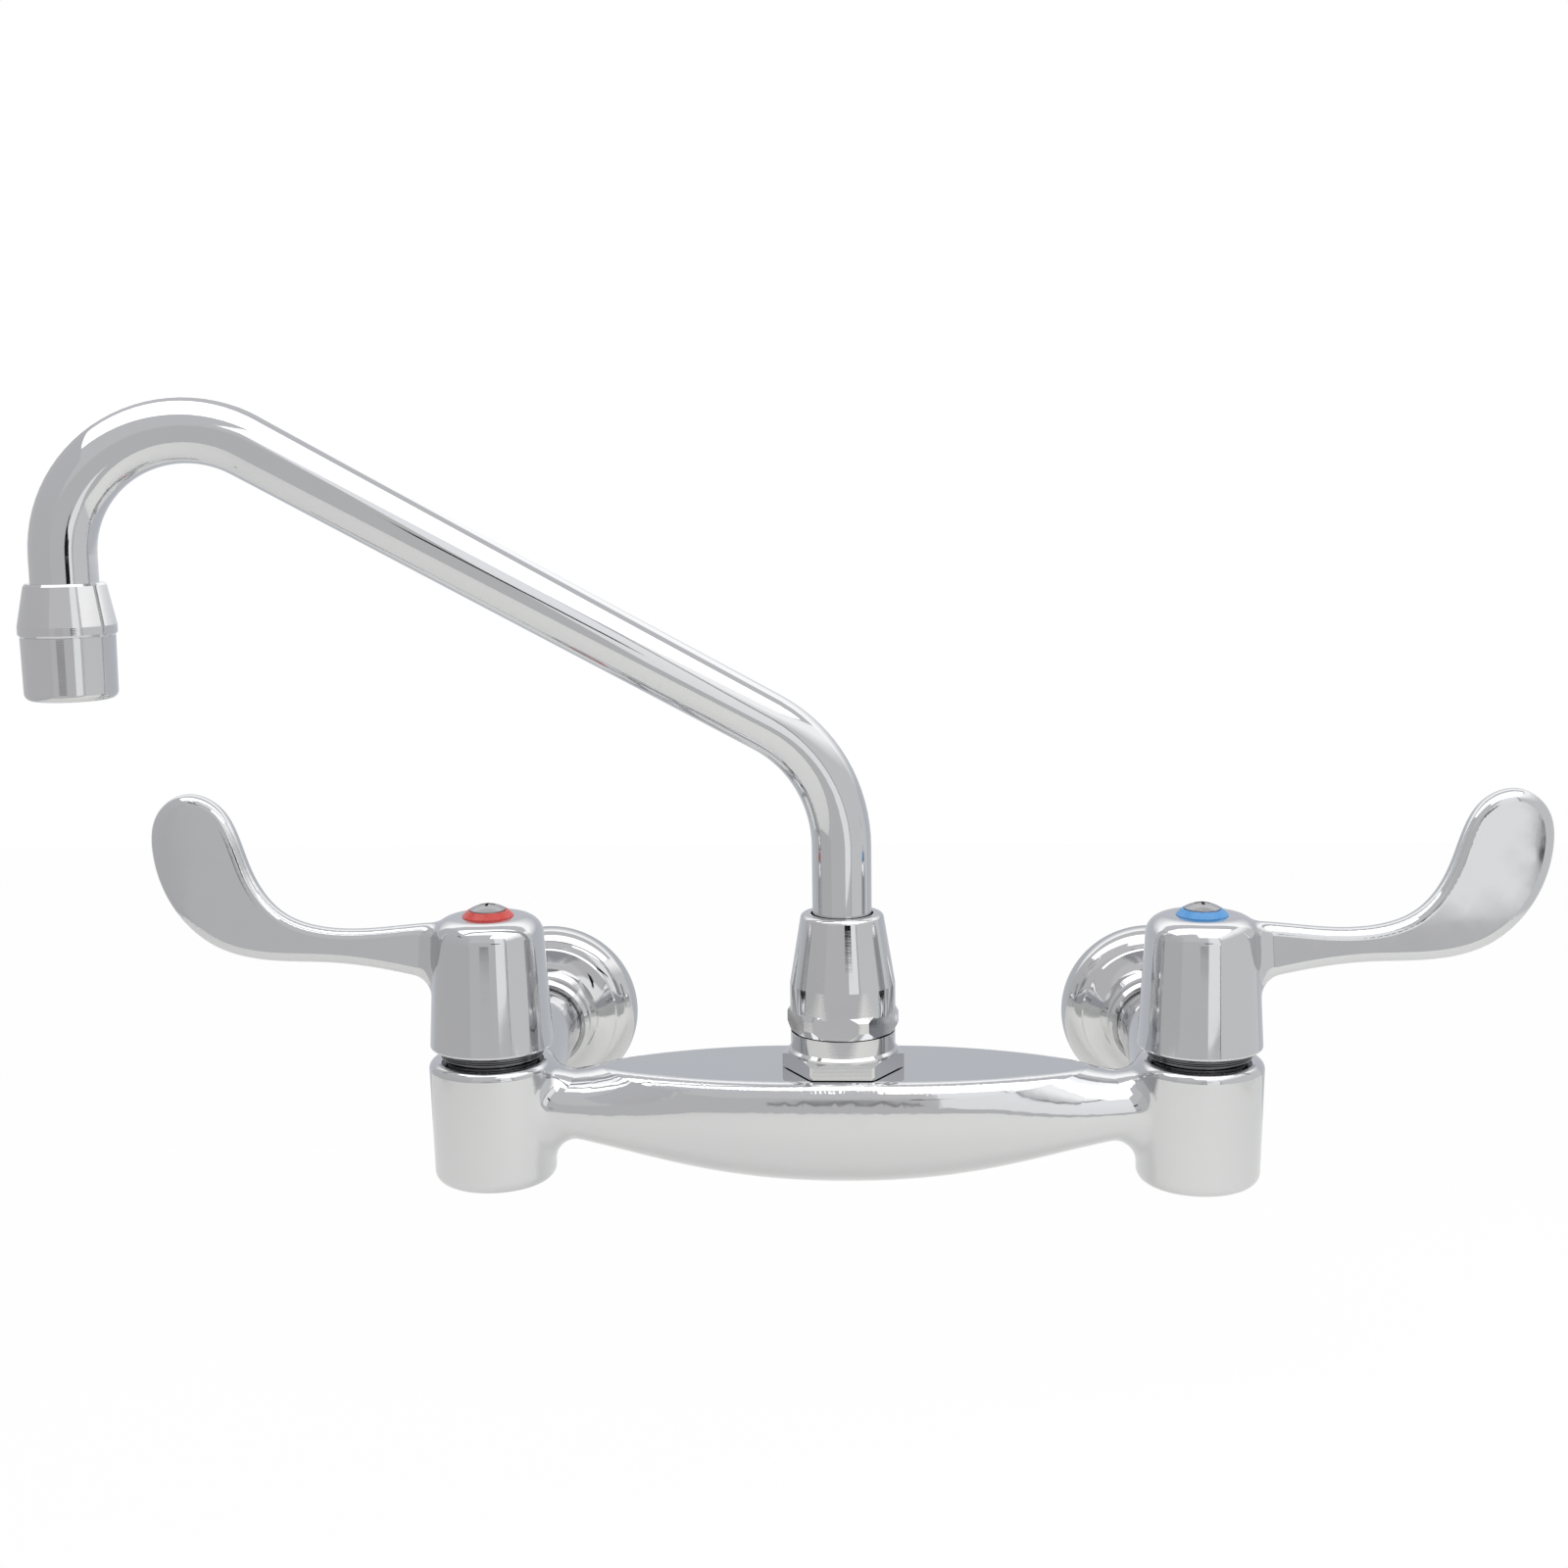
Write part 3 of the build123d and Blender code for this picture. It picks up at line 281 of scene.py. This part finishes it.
# Table: a plain white sheet close under the faucet. The camera sees it nearly pure white with a faint shadow,
# and the metal sees more of its real shade.
TABLE_Z = -0.092
TABLE_FRONT = -0.437
TABLE_BACK = 0.8
TABLE_SIDE = 0.8
TABLE_WHITE = (0.89, 0.89, 0.855)
TABLE_GLOSS = 0.8
PURE_WHITE = (1.0, 1.0, 1.0)
WHITE_IN_METAL = (1.04, 1.05, 1.01)
TABLE_SHARES = (("Is Camera Ray", 0.96), ("Is Glossy Ray", 0.3), ("Is Transmission Ray", 0.3))


def stage_sheet(name, corners, material):
    """A flat four-cornered sheet of the studio, which is not part of the faucet."""
    flat = bpy.data.meshes.new(name)
    flat.from_pydata(corners, [], [(0, 1, 2, 3)])
    flat.materials.append(material)
    sheet = bpy.data.objects.new(name, flat)
    bpy.context.scene.collection.objects.link(sheet)
    return sheet


def level_corners(side, front, back, height):
    """The corners of a level sheet that reaches as far to the left as to the right."""
    return [(-side, front, height), (side, front, height), (side, back, height), (-side, back, height)]


def seen_share(tree, shares):
    """How much of a plain white each kind of ray sees: the largest share of the kinds that apply."""
    rays = tree.nodes.new("ShaderNodeLightPath")
    largest = None
    for kind, share in shares:
        part = tree.nodes.new("ShaderNodeMath")
        part.operation = "MULTIPLY"
        part.inputs[1].default_value = share
        join(tree, rays.outputs[kind], part.inputs[0])
        if largest is None:
            largest = part.outputs[0]
            continue
        either = tree.nodes.new("ShaderNodeMath")
        either.operation = "MAXIMUM"
        join(tree, largest, either.inputs[0])
        join(tree, part.outputs[0], either.inputs[1])
        largest = either.outputs[0]
    return largest


table_paint, table_tree, table_shader = finish("white table", TABLE_WHITE, metal=0.0, gloss=TABLE_GLOSS)
table_rays = table_tree.nodes.new("ShaderNodeLightPath")
table_glow = table_tree.nodes.new("ShaderNodeEmission")
table_colour = fade(table_tree, table_rays.outputs["Is Camera Ray"], WHITE_IN_METAL, PURE_WHITE)
join(table_tree, table_colour, table_glow.inputs["Color"])
table_blend = table_tree.nodes.new("ShaderNodeMixShader")
join(table_tree, seen_share(table_tree, TABLE_SHARES), table_blend.inputs["Fac"])
join(table_tree, table_shader.outputs["BSDF"], table_blend.inputs[1])
join(table_tree, table_glow.outputs["Emission"], table_blend.inputs[2])
join(table_tree, table_blend.outputs["Shader"], table_tree.nodes["Material Output"].inputs["Surface"])
stage_sheet("table", level_corners(TABLE_SIDE, TABLE_FRONT, TABLE_BACK, TABLE_Z), table_paint)


# Booth: pale sheets at the sides, behind and above, open at the front, with a narrow dark frame on the right
# sheet. A black card and a bright window stand beside the camera. The metal reflects all of these, but the
# camera doesn't see them and they cast no shadow.
BOOTH_BACK = 0.12
BOOTH_FRONT = -0.53
BOOTH_SIDE = 0.35
BOOTH_BACK_SIDE = 0.42
BOOTH_FOOT = -0.085
BOOTH_TOP = 0.40
FRAME_WIDTH = 0.01
CEILING_SIDE = 0.6
CEILING_GAP = 0.005
CARD_LEFT, CARD_RIGHT = 0.08, 0.27
CARD_FOOT, CARD_TOP = 0.10, 0.142
CARD_Y = -0.70
WINDOW_LEFT, WINDOW_RIGHT = 0.17, 0.47
WINDOW_TOP = 0.75
WINDOW_Y = -0.72


def sheet_paint(name, low, high=None, start=0.0, end=0.3):
    """A sheet of even light, which can change to another colour between two heights."""
    made = bpy.data.materials.new(name)
    made.use_nodes = True
    tree = made.node_tree
    tree.nodes.remove(tree.nodes["Principled BSDF"])
    glow = tree.nodes.new("ShaderNodeEmission")
    join(tree, glow.outputs["Emission"], tree.nodes["Material Output"].inputs["Surface"])
    if high is None:
        glow.inputs["Color"].default_value = (*low, 1)
        return made
    up = tree.nodes.new("ShaderNodeSeparateXYZ")
    join(tree, place(tree), up.inputs["Vector"])
    climb = spread(tree, up.outputs["Z"], 0, 1, start, end)
    join(tree, fade(tree, climb, low, high), glow.inputs["Color"])
    return made


def hidden_sheet(name, corners, material):
    """A sheet that shows in the metal, but not to the camera, and casts no shadow."""
    sheet = stage_sheet(name, corners, material)
    sheet.visible_camera = False
    sheet.visible_shadow = False


def upright_sheet(name, start, end, top, material, foot=BOOTH_FOOT):
    """A sheet hanging between two points of the plan, from one height to another."""
    hidden_sheet(name, [(*start, foot), (*end, foot), (*end, top), (*start, top)], material)


left_paint = sheet_paint("grey left sheet", (0.60, 0.60, 0.61), (0.66, 0.66, 0.68))
right_paint = sheet_paint("pale right sheet", (0.77, 0.78, 0.79), (1.35, 1.35, 1.35), start=0.20, end=0.32)
back_paint = sheet_paint("pale back sheet", (0.64, 0.66, 0.70), (1.45, 1.45, 1.45), start=0.12, end=0.27)
window_paint = sheet_paint("bright window", (1.08, 1.09, 1.10), (1.15, 1.16, 1.18))
left_back = (-BOOTH_BACK_SIDE, BOOTH_BACK)
right_back = (BOOTH_BACK_SIDE, BOOTH_BACK)
right_front = (BOOTH_SIDE, BOOTH_FRONT)
upright_sheet("left sheet", left_back, (-BOOTH_SIDE, BOOTH_FRONT), BOOTH_TOP, left_paint)
upright_sheet("right sheet", right_back, right_front, BOOTH_TOP, right_paint)
upright_sheet("back sheet", left_back, right_back, BOOTH_TOP, back_paint)
upright_sheet("right frame", (BOOTH_SIDE - FRAME_WIDTH, BOOTH_FRONT), right_front, BOOTH_TOP,
              sheet_paint("dark frame", (0.12, 0.12, 0.13)))
upright_sheet("black card", (CARD_LEFT, CARD_Y), (CARD_RIGHT, CARD_Y), CARD_TOP,
              sheet_paint("black card", (0.01, 0.01, 0.01)), foot=CARD_FOOT)
hidden_sheet("ceiling", level_corners(CEILING_SIDE, BOOTH_FRONT, BOOTH_BACK, BOOTH_TOP + CEILING_GAP),
             sheet_paint("grey ceiling", (0.74, 0.74, 0.76)))
upright_sheet("window", (WINDOW_LEFT, WINDOW_Y), (WINDOW_RIGHT, WINDOW_Y), WINDOW_TOP, window_paint)


# Room: a far grey wall in front of the faucet, behind the camera, with a dark bar across it that shows as a
# thin line on the bridge. A paler bar round it softens the line's edges.
ROOM_FRONT = -6.0
ROOM_REACH = 8.0
ROOM_FOOT = -6.0
room_paint = sheet_paint("grey room wall", (0.66, 0.66, 0.67), (0.74, 0.74, 0.75), start=1.5, end=2.0)
upright_sheet("room wall", (-ROOM_REACH, ROOM_FRONT), (ROOM_REACH, ROOM_FRONT), ROOM_REACH, room_paint,
              foot=ROOM_FOOT)
for name, paint, left, right, y, foot, top, grey in (
        ("pale bar", "grey bar", -1.05, 0.95, ROOM_FRONT + 0.02, -0.70, -0.37, (0.50, 0.50, 0.51)),
        ("dark bar", "dark bar", -0.95, 0.85, ROOM_FRONT + 0.04, -0.61, -0.46, (0.30, 0.30, 0.31))):
    upright_sheet(name, (left, y), (right, y), top, sheet_paint(paint, grey), foot=foot)


# Light: two soft boxes under the booth's ceiling and an even world. The world is plain white to the camera
# and in the metal, and a pale grey light on everything else.
BOX_BRIGHTNESS = 1.45
WORLD_GREY = (0.70, 0.70, 0.71)
WORLD_SHARES = (("Is Camera Ray", 1.0), ("Is Glossy Ray", 1.0), ("Is Transmission Ray", 1.0))
for name, x, y, width, depth in (("left soft box", -0.22, -0.17, 0.44, 0.24),
                                 ("right soft box", 0.19, -0.29, 0.38, 0.48)):
    soft_box = bpy.data.lights.new(name, "AREA")
    soft_box.shape = "RECTANGLE"
    soft_box.size = width
    soft_box.size_y = depth
    soft_box.energy = BOX_BRIGHTNESS * math.pi * width * depth
    hung = bpy.data.objects.new(name, soft_box)
    hung.location = (x, y, BOOTH_TOP)
    hung.visible_camera = False
    bpy.context.scene.collection.objects.link(hung)

studio = bpy.data.worlds.new("studio")
bpy.context.scene.world = studio
studio.use_nodes = True
room = studio.node_tree
background = room.nodes["Background"]
join(room, fade(room, seen_share(room, WORLD_SHARES), WORLD_GREY, PURE_WHITE), background.inputs["Color"])
background.inputs["Strength"].default_value = 1.0


# Camera: in front of the faucet, a little to the right and above, turned slightly to the left and down. Its
# spot, its angles and its focal length were worked out from the edges in the photo.
IMAGE_PIXELS = 1600
FOCAL_PIXELS = 2116.45
SENSOR_WIDTH = 36
CAMERA_SPOT = (0.01311, -0.68933, 0.1856)
camera = bpy.data.objects.new("camera", bpy.data.cameras.new("camera"))
camera.data.sensor_width = SENSOR_WIDTH
camera.data.lens = FOCAL_PIXELS / IMAGE_PIXELS * SENSOR_WIDTH
camera.data.clip_start = 0.01
camera.data.clip_end = 50
turn_left, tip_down, roll = (math.radians(angle) for angle in (2.84, 8.86, -0.72))
aim = (Matrix.Rotation(turn_left, 4, "Z") @ Matrix.Rotation(math.pi / 2 - tip_down, 4, "X")
       @ Matrix.Rotation(roll, 4, "Z"))
camera.matrix_world = Matrix.Translation(CAMERA_SPOT) @ aim
bpy.context.scene.collection.objects.link(camera)
bpy.context.scene.camera = camera
bpy.context.scene.view_settings.view_transform = "Standard"
